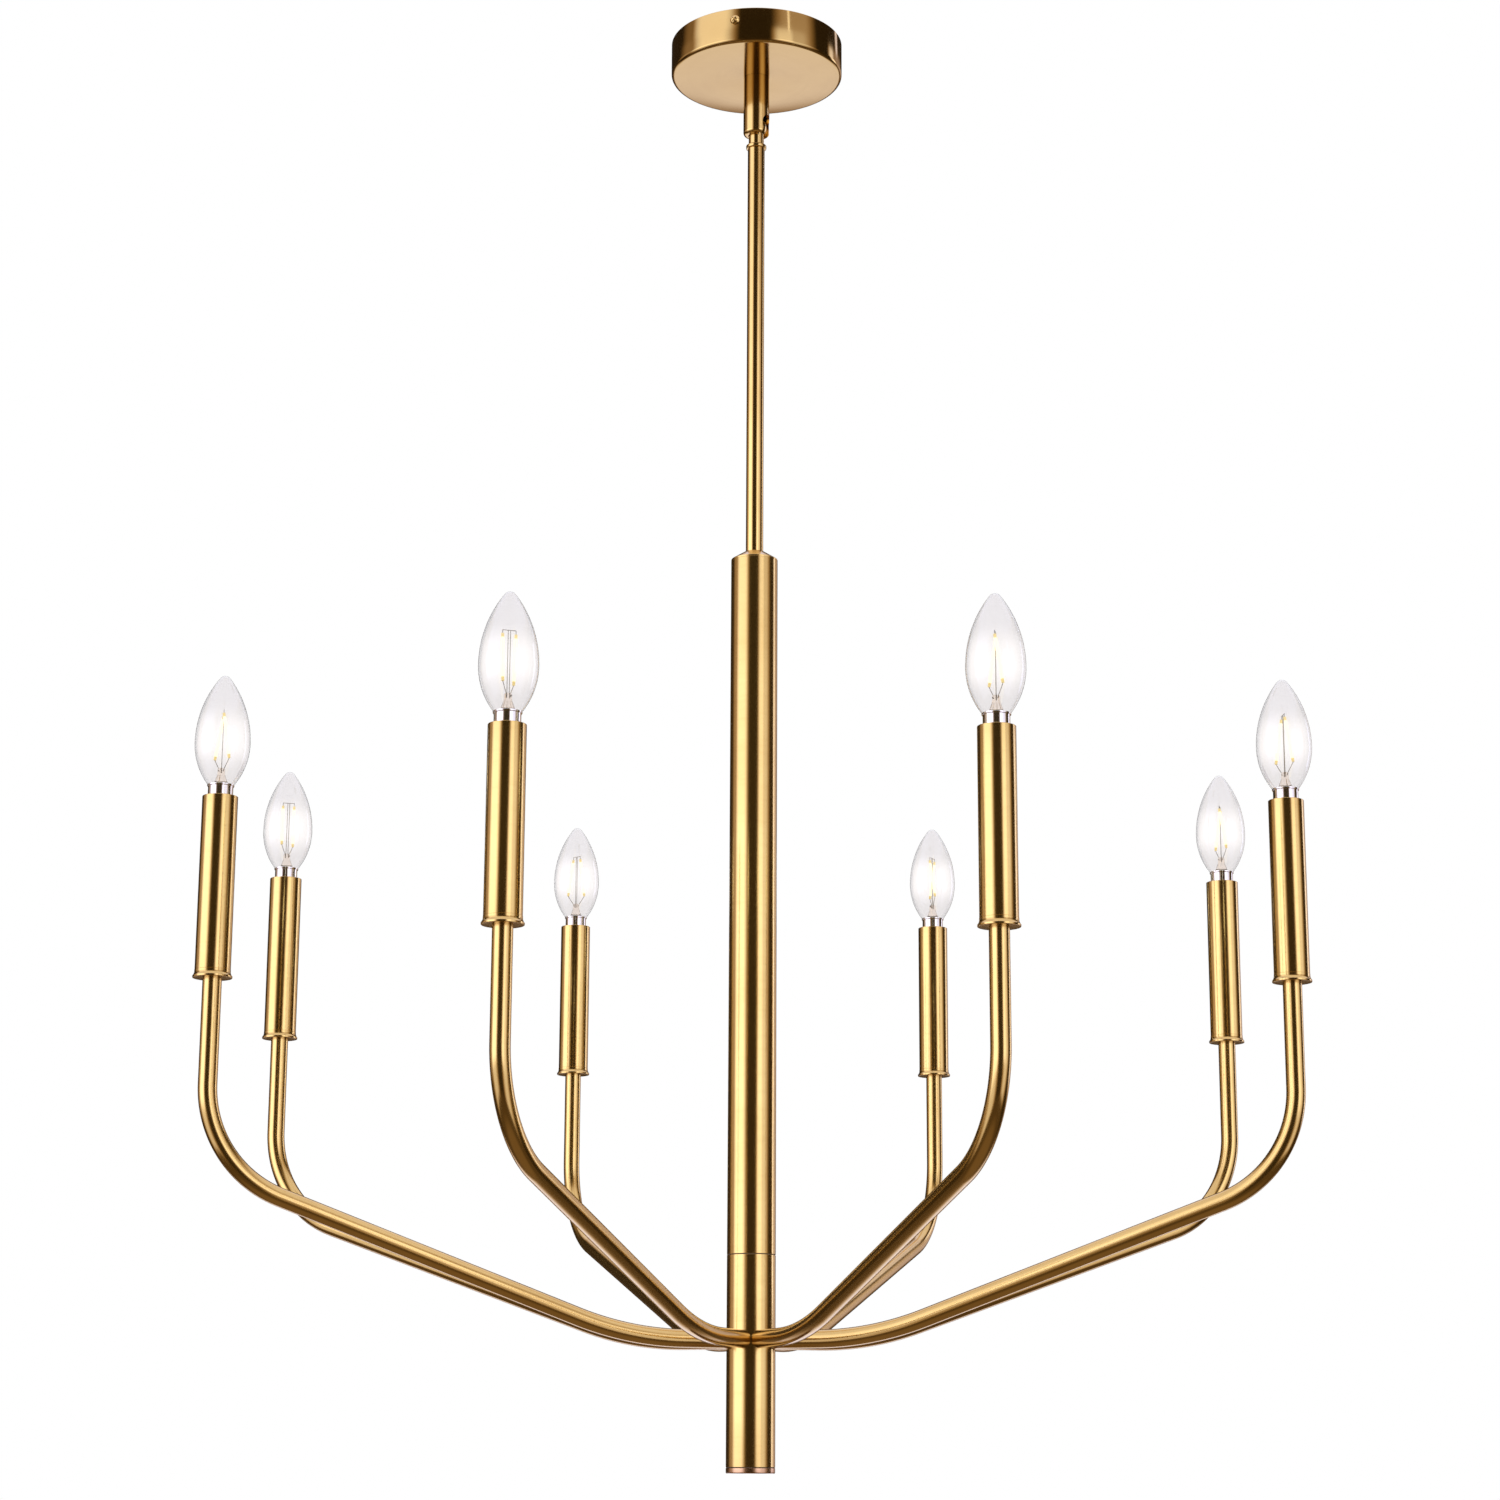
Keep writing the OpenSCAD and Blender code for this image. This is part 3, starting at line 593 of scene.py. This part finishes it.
# ---------------------------------------------------------------------------------------------
# Arms
# ---------------------------------------------------------------------------------------------
def arm_path(circle_r, root_z, top_z, column_r):
    """Centreline of an arm as (y, z) points: level, bent up, straight, bent upright, straight."""
    outward = [Vector((column_r - ARM_SINK, root_z)), Vector((ARM_LEVEL_R, root_z))]
    first = Vector((ARM_LEVEL_R, root_z + ARM_ROOT_BEND_R))
    outward += arc(first, ARM_ROOT_BEND_R, -math.pi / 2, ARM_SLOPE - math.pi / 2, 24)[1:]
    rise_start_r = circle_r - ARM_RISE_BEND_R * (1 - math.sin(ARM_SLOPE))
    rise_start_z = outward[-1].y + (rise_start_r - outward[-1].x) * math.tan(ARM_SLOPE)
    second = Vector((circle_r - ARM_RISE_BEND_R, rise_start_z + ARM_RISE_BEND_R * math.cos(ARM_SLOPE)))
    outward += arc(second, ARM_RISE_BEND_R, ARM_SLOPE - math.pi / 2, 0.0, 40)
    outward.append(Vector((circle_r, top_z)))
    return [Vector((0.0, -p.x, p.y)) for p in outward]


def arms():
    """One bent tube, used for each of the eight arms."""
    foot_z = span("bottom_cap")[0].z
    cup_low, _ = span("candle_cups")
    circle_r = CANDLES[0][1].length
    column_r = span("hub_tube")[1].x
    path = arm_path(circle_r, foot_z + ARM_ROOT_H, cup_low.z + CUP_FLOOR_H, column_r)
    mesh = bpy.data.meshes.new("arm_fine")
    sweep(mesh, path, ARM_R, 64, side=(1.0, 0.0, 0.0))
    tidy(mesh)
    for k, _, azimuth in CANDLES:
        name = f"arm_tube_{k}"
        place(name, mesh, "arm", "fixture", turn=azimuth, slot="brushed_brass", instead=[f"arm_{k}"])


# ---------------------------------------------------------------------------------------------
# Candles
# ---------------------------------------------------------------------------------------------
def cup_outline(lip_r):
    """Flared cup above its lip's lower face, with the boss that holds the sleeve."""
    flare = (CUP_BODY_R + CUP_FLARE_R, CUP_T - CUP_RIM_H)
    lip_turn = math.acos((lip_r - flare[0]) / CUP_FLARE_R)
    mouth = ARM_R + SLIP_GAP
    boss = CUP_BODY_R - CUP_BOSS_STEP
    top = CUP_T + CUP_BOSS_H
    lip = rounded([(mouth, 0.0, 0.0), (lip_r, 0.0, 0.35), (lip_r, CUP_LIP_T, 0.0)], closed=False)
    side = arc(flare, CUP_FLARE_R, -lip_turn, -math.pi, 14)
    rest = [(CUP_BODY_R, CUP_T), (boss, CUP_T), (boss, top)]
    rest += [(CUP_BORE_R, top), (CUP_BORE_R, CUP_FLOOR_H), (mouth, CUP_FLOOR_H)]
    return lip + side + [Vector(p) for p in rest]


def candle_parts():
    """Cup, sleeve and socket of each candle. A group's box reaches one radius past its outermost axis."""
    cup_low, cup_high = span("candle_cups")
    sleeve_low, sleeve_high = span("candle_sleeves")
    socket_low, socket_high = span("socket_bodies")
    outermost = max(axis.x for _, axis, _ in CANDLES)
    lip_r = cup_high.x - outermost
    sleeve_r = sleeve_high.x - outermost
    socket_r = socket_high.x - outermost
    height = sleeve_high.z - sleeve_low.z
    cup = lathe("cup_fine", cup_outline(lip_r))
    sleeve = lathe("sleeve_fine", rounded([
        (sleeve_r - SLEEVE_WALL, 0.0, 0.0),
        (sleeve_r, 0.0, 0.2),
        (sleeve_r, height, 0.3),
        (sleeve_r - SLEEVE_WALL, height, 0.3),
    ]))
    depth = socket_high.z - socket_low.z
    socket = lathe("socket_fine", rounded([
        (0.0, 0.0, 0.0),
        (socket_r, 0.0, 0.6),
        (socket_r, depth, 0.8),
        (SOCKET_BORE_R, depth, 0.5),
        (SOCKET_BORE_R, depth - SOCKET_BORE_H, 0.0),
        (0.0, depth - SOCKET_BORE_H, 0.0),
    ]))
    for k, axis, azimuth in CANDLES:
        place(f"candle_cup_{k}", cup, "tube", "fixture", axis + UP * cup_low.z, slot="brushed_brass",
              instead=["candle_cups"])
        place(f"candle_sleeve_{k}", sleeve, "tube", "fixture", axis + UP * sleeve_low.z,
              turn=azimuth, slot="brushed_brass", instead=["candle_sleeves"])
        place(f"socket_{k}", socket, "phenolic", "fixture", axis + UP * socket_low.z, slot="phenolic",
              instead=["socket_bodies"])


# ---------------------------------------------------------------------------------------------
# Lamps, drawn upwards from the foot of the glass
# ---------------------------------------------------------------------------------------------
def glass_outline(height, wide_r):
    """Closed outline of the lamp glass: belly, crown and round tip outside, and its wall inside."""
    belly_run = wide_r - GLASS_NECK_R
    belly_r = (GLASS_WIDE_H ** 2 + belly_run ** 2) / (2 * belly_run)
    belly_turn = math.asin(GLASS_WIDE_H / belly_r)
    tip_h = height - GLASS_WIDE_H - GLASS_TIP_R
    crown_r = (tip_h ** 2 + wide_r ** 2 - GLASS_TIP_R ** 2) / (2 * (wide_r - GLASS_TIP_R))
    crown_turn = math.asin(tip_h / (crown_r - GLASS_TIP_R))
    outer = []
    inner = []
    for side, inset in ((outer, 0.0), (inner, GLASS_WALL)):
        side += arc((wide_r - belly_r, GLASS_WIDE_H), belly_r - inset, -belly_turn, 0.0, 28)
        side += arc((wide_r - crown_r, GLASS_WIDE_H), crown_r - inset, 0.0, crown_turn, 40)[1:]
        tip = arc((0.0, GLASS_WIDE_H + tip_h), GLASS_TIP_R - inset, crown_turn, math.pi / 2, 14)[1:]
        side += tip
        side[-1].x = 0.0
    return outer + inner[::-1]


def base_mesh(foot_z, base_low):
    """Plated base: a lip and collar round the glass, and a rolled screw shell under it."""
    thread_foot = base_low - foot_z
    thread_top = thread_foot + THREAD_LEN
    lip_r = BASE_COLLAR_R + BASE_LIP_W
    outline = rounded([
        (lip_r, 0.0, 0.2),
        (lip_r, -BASE_LIP_T, 0.3),
        (BASE_COLLAR_R, -BASE_LIP_T, 0.15),
        (BASE_COLLAR_R, thread_top, 0.9),
        (THREAD_R, thread_top - 0.1, 0.3),
    ], closed=False, steps=5)
    steps = 90
    margin = 0.2
    fall = (THREAD_LEN - 2 * margin) / steps
    outline += [Vector((THREAD_R, thread_top - margin - fall * s)) for s in range(steps + 1)]
    bore = THREAD_R - BASE_WALL - THREAD_DEPTH
    collar_bore = BASE_COLLAR_R - BASE_WALL
    rest = [(THREAD_R - 0.3, thread_foot), (bore, thread_foot), (bore, thread_top)]
    rest += [(collar_bore, thread_top + 0.8), (collar_bore, 0.0)]
    outline += [Vector(p) for p in rest]

    def thread(angle, r, h):
        """Depth of the rolled groove, which winds round and fades at both ends."""
        if abs(r - THREAD_R) > 0.01 or h > thread_top - 0.15:
            return 0.0
        fade = min(1.0, (thread_top - h) / 1.5, (h - thread_foot) / 1.0)
        wave = 0.5 - 0.5 * math.cos(2 * math.pi * h / THREAD_PITCH - angle)
        return -THREAD_DEPTH * max(fade, 0.0) * wave

    return lathe("lamp_base_fine", outline, 72, swell=thread)


def lamp_insides(turn):
    """Two light sticks, their support and leads, over the glass stem's pinch."""
    mesh = bpy.data.meshes.new("lamp_insides")
    bracket = UP * (STICK_TOP_H + WIRE_BRACKET_H)
    for side in (-1, 1):
        top_dir = Vector((math.cos(turn), math.sin(turn), 0.0)) * side
        foot_turn = turn + STICK_TWIST
        foot_dir = Vector((math.cos(foot_turn), math.sin(foot_turn), 0.0)) * side
        foot = foot_dir * STICK_FOOT_R + UP * STICK_FOOT_H
        top = top_dir * STICK_TOP_R + UP * STICK_TOP_H
        run = top - foot
        low, high = foot + run * STICK_TAB, top - run * STICK_TAB
        sweep(mesh, [low, high], STICK_R, 20, dome=True, slot=0)
        sweep(mesh, [foot, low], STICK_TAB_R, 20, slot=1)
        sweep(mesh, [high, top], STICK_TAB_R, 20, slot=1)
        pinch = UP * (STEM_GLASS_H - 2.0) + foot_dir * WIRE_PINCH_R
        knee = UP * (STICK_FOOT_H - 2.6) + foot_dir * (STICK_FOOT_R * 0.75)
        over_top = top_dir * STICK_TOP_R + bracket
        for start, end in ((pinch, knee), (knee, foot), (top, over_top), (over_top, bracket)):
            sweep(mesh, [start, end], WIRE_R, 10, dome=True, slot=2)
        post = top_dir * POST_R
        sweep(mesh, [post + UP * (STEM_GLASS_H - 3.0), post + bracket], WIRE_R, 10, dome=True, slot=2)
    return tidy(mesh)


def lamps():
    """Eight lamps. Glass, stem, sticks and base turn with the lamp, and the contact rides on its thread."""
    glass_low, glass_high = span("lamp_1_glass")
    base_z = span("lamp_1_base")[0].z
    contact_z = span("lamp_1_contact")[0].z
    foot_z = glass_low.z
    wide_r = (glass_high.x - glass_low.x) / 2
    glass = lathe("lamp_glass_fine", glass_outline(glass_high.z - foot_z, wide_r), 128)
    base = base_mesh(foot_z, base_z)
    stem = lathe("lamp_stem_fine", rounded([
        (0.0, -2.0, 0.0),
        (GLASS_NECK_R - 1.4, -2.0, 0.3),
        (4.4, 1.6, 2.0),
        (2.5, 6.5, 4.0),
        (2.3, STEM_GLASS_H, 1.2),
        (0.0, STEM_GLASS_H, 0.0),
    ]), 64)
    cement = lathe("lamp_cement_fine", rounded([
        (0.0, -CEMENT_DEPTH, 0.0),
        (BASE_COLLAR_R - BASE_WALL, -CEMENT_DEPTH, 0.0),
        (BASE_COLLAR_R - BASE_WALL, -0.4, 0.0),
        (GLASS_NECK_R - 1.1, -0.3, 0.2),
        (GLASS_NECK_R - 1.2, -2.1, 0.2),
        (0.0, -2.1, 0.0),
    ]), 64)
    top = base_z - contact_z
    insulator = lathe("lamp_insulator_fine", rounded([
        (0.0, 1.0, 0.0),
        (3.6, 1.0, 0.3),
        (5.0, top, 0.4),
        (4.6, top + 2.8, 0.0),
        (0.0, top + 2.8, 0.0),
    ]), 64)
    contact = lathe("lamp_contact_fine", rounded([
        (0.0, 0.0, 0.0),
        (1.4, 0.0, 0.6),
        (2.4, 0.5, 0.3),
        (2.4, 1.2, 0.0),
        (0.0, 1.2, 0.0),
    ]), 48)
    for k, axis, _ in CANDLES:
        turn = math.radians(LAMP_TURNS[k - 1])
        at = axis + UP * foot_z
        end = axis + UP * contact_z
        lamp, thread = f"lamp_{k}", f"lamp_{k}_thread"
        place(f"bulb_{k}", glass, "glass", lamp, at, turn, "lamp_glass", [f"lamp_{k}_glass"])
        place(f"bulb_stem_{k}", stem, "stem_glass", lamp, at, slot="lamp_glass")
        place(f"bulb_cement_{k}", cement, "cement", lamp, at)
        place(f"bulb_sticks_{k}", lamp_insides(turn), "stick stick_end wire", lamp, at)
        place(f"screw_base_{k}", base, "nickel", lamp, at, 0.0, "nickel_plate", [f"lamp_{k}_base"])
        place(f"insulator_{k}", insulator, "vitrite", thread, end)
        place(f"end_contact_{k}", contact, "tin", thread, end, 0.0, "end_contact", [f"lamp_{k}_contact"])


# ---------------------------------------------------------------------------------------------
# CAD nodes that show as they are
# ---------------------------------------------------------------------------------------------
def dress_frame():
    """Gives each CAD node that stays in view its look and smooth shading."""
    looks = {
        "crossbar": "steel",
        "ground_screw": "green",
        "canopy_screws": "fitting",
        "swivel_barrel": "fitting",
        "swivel_ball": "fitting",
        "column_sleeve": "raw",
        "arm_cluster": "raw",
        "socket_contacts": "raw",
        "socket_shells": "nickel_shell",
    }
    for name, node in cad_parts.items():
        if node.hide_render:
            continue
        node.data.materials.clear()
        node.data.materials.append(LOOKS[looks.get(name, "steel")])
        node.data.polygons.foreach_set("use_smooth", [True] * len(node.data.polygons))
        node.data.set_sharp_from_angle(angle=math.radians(30))


# ---------------------------------------------------------------------------------------------
# Studio
# ---------------------------------------------------------------------------------------------
BRIGHTEST = 2.0
HIGH_SHARE = 0.7
DARK_WALL = 0.02
# The lights that metal sees. Each has its middle, in degrees round from the camera with right as
# positive, then half its full width, the width of its soft edge, and its strength.
LEFT_BOX = (-62, 14, 28, 1.0)
LEFT_SPILL = (-100, 5, 25, 0.25)
RIGHT_BOX = (38, 6, 16, 0.85)
RIGHT_SPILL = (56, 6, 30, 0.55)
REAR_STRIP = (120, 2, 8, 0.9)
REAR_SPILL = (138, 8, 20, 0.3)
LEFT_FOOT = (-64, 10, 40, 0.45)
RIGHT_FOOT = (52, 6, 34, 0.45)
HIGH_LEFT_BOX = (-62, 18, 24, 1.0)
HIGH_LEFT_SPILL = (-95, 8, 22, 0.2)
HIGH_RIGHT_BOX = (54, 14, 24, 0.4)
HIGH_SLIT = (44, 0.6, 1.8, 1.2)
HIGH_REAR_STRIP = (138, 1, 5, 0.8)
# Plain levels: overhead, down at a slant, straight down, and low down behind the object.
TOP_LIGHT = 0.95
STEEP_LIGHT = 0.10
DOWN_LIGHT = 0.20
BACK_LIGHT = 1.08


def lit(look, turn, *boxes):
    """Brightness in the direction turn, in degrees: the brightest of the soft boxes, or the dark wall."""
    level = DARK_WALL
    for middle, half, edge, strength in boxes:
        off = look.math("ABSOLUTE", look.math("SUBTRACT", turn, middle))
        level = look.math("MAXIMUM", level, look.ease(off, half, half + edge, strength, 0.0))
    return level


def studio():
    """White behind the object for the eye. Metal sees a dark room with soft boxes."""
    world = bpy.data.worlds.new("studio")
    bpy.context.scene.world = world
    look = Look(world)
    # The direction looked in: x is right, y is away from the camera and z is up.
    x, y, z = look.node("SeparateXYZ", {0: look.node("TexCoord").outputs["Generated"]}).outputs
    azimuth = look.math("ARCTAN2", x, look.math("MULTIPLY", y, -1.0))
    turn = look.math("MULTIPLY", azimuth, math.degrees(1.0))
    round_about = lit(look, turn, LEFT_BOX, LEFT_SPILL, RIGHT_BOX, RIGHT_SPILL, REAR_STRIP, REAR_SPILL)
    fading = look.ease(z, 0.2, 0.42, BRIGHTEST, HIGH_SHARE * BRIGHTEST)
    level = look.math("MULTIPLY", round_about, fading)
    low = look.math("MULTIPLY", lit(look, turn, LEFT_FOOT, RIGHT_FOOT), BRIGHTEST)
    high_boxes = (HIGH_LEFT_BOX, HIGH_LEFT_SPILL, HIGH_RIGHT_BOX, HIGH_SLIT, HIGH_REAR_STRIP)
    high_about = lit(look, turn, *high_boxes)
    high = look.math("MULTIPLY", high_about, HIGH_SHARE * BRIGHTEST)
    behind = look.math("MULTIPLY", look.ease(y, 0.55, 0.82), look.ease(z, -0.03, -0.32))
    for share, other in (
        (look.ease(z, -0.02, -0.20), low),
        (look.ease(z, 0.415, 0.430), high),
        (look.ease(z, -0.50, -0.60), STEEP_LIGHT),
        (look.ease(z, -0.74, -0.93), DOWN_LIGHT),
        (behind, look.ease(z, -0.33, -0.40, 0.2 * BACK_LIGHT, BACK_LIGHT)),
        (look.ease(z, 0.52, 0.72), TOP_LIGHT),
    ):
        level = look.node("Mix", {0: share, 2: level, 3: other}).outputs[0]
    warmth = look.blend(look.ease(level, 0.05, 1.1), rgb(1.0, 0.63, 0.33), rgb(1.0, 1.0, 1.40))
    path = look.node("LightPath").outputs
    not_mirrored = look.math("SUBTRACT", 1.0, path["Is Glossy Ray"])
    seen = look.math("MAXIMUM", not_mirrored, path["Is Transmission Ray"])
    room = look.node("Background", {"Color": warmth, "Strength": level})
    white = look.node("Background", {"Color": rgb(1.0, 1.0, 1.0), "Strength": 1.0})
    mixed = look.node("MixShader", {0: seen, 1: room.outputs[0], 2: white.outputs[0]})
    out = look.node("OutputWorld")
    look.tree.links.new(mixed.outputs[0], out.inputs["Surface"])


def floor():
    """A wide pale floor, well below the object, that fades into the white background."""
    drop = 3.2
    reach = 30.0
    work = bmesh.new()
    bmesh.ops.create_circle(work, cap_ends=True, segments=96, radius=reach)
    mesh = bpy.data.meshes.new("floor")
    work.to_mesh(mesh)
    work.free()
    look = Look(bpy.data.materials.new("pale_floor"))
    where = look.node("TexCoord").outputs["Object"]
    away = look.node("VectorMath", {0: where}, operation="LENGTH").outputs["Value"]
    fade = look.ease(away, 1.0, 7.0)
    grain = look.noise(where, 3.0, 3.0)
    colour = look.blend(grain, rgb(0.90, 0.90, 0.84), rgb(0.87, 0.87, 0.81))
    paint = look.node("BsdfDiffuse", {"Color": colour})
    glow = look.node("Emission", {"Color": rgb(1.0, 1.0, 1.0), "Strength": 1.0})
    mixed = look.node("MixShader", {0: fade, 1: paint.outputs[0], 2: glow.outputs[0]})
    mesh.materials.append(look.finish(mixed))
    plane = bpy.data.objects.new("floor", mesh)
    bpy.context.scene.collection.objects.link(plane)
    plane.location = (0.0, 0.0, CAD_BOX[0].z - drop)
    plane.visible_glossy = False


def camera():
    """The camera stands in front, near the height of the column's foot, and looks up at the object."""
    sensor = 36.0
    back, aside = 2.0612, 0.0065
    yaw, pitch, roll = math.radians(-0.249), math.radians(13.115), math.radians(0.271)
    forward = Vector((math.sin(yaw) * math.cos(pitch), math.cos(yaw) * math.cos(pitch), math.sin(pitch)))
    right = Vector((math.cos(yaw), -math.sin(yaw), 0.0))
    up = right.cross(forward)
    side = math.cos(roll) * right + math.sin(roll) * up
    top = -math.sin(roll) * right + math.cos(roll) * up
    lens = bpy.data.cameras.new("camera")
    lens.sensor_width = sensor
    lens.lens = 74.54
    eye = bpy.data.objects.new("camera", lens)
    bpy.context.scene.collection.objects.link(eye)
    axes = Matrix((side, top, -forward)).transposed().to_4x4()
    eye.matrix_world = Matrix.Translation((aside, -back, CAD_BOX[0].z)) @ axes
    bpy.context.scene.camera = eye


canopy()
ring_piece("stem_top_collar", "stem_collar", 2.2, 0.8, look="rod")
ring_piece("stem_tube", "stem_rod", STEM_WALL, SOFT_EDGE, look="rod")
column_cap()
ring_piece("column_long_tube", "column_tube", COLUMN_WALL, SOFT_EDGE)
ring_piece("column_hub_tube", "hub_tube", COLUMN_WALL, SOFT_EDGE, gap=SEAM_GAP)
bottom_cap()
# Rings of painted shadow in the column's two joints.
seam("seam_over_hub", "column_tube", "hub_tube")
seam("seam_over_foot", "hub_tube", "bottom_cap")
arms()
candle_parts()
lamps()
dress_frame()
studio()
floor()
camera()
bpy.context.scene.view_settings.view_transform = "Standard"
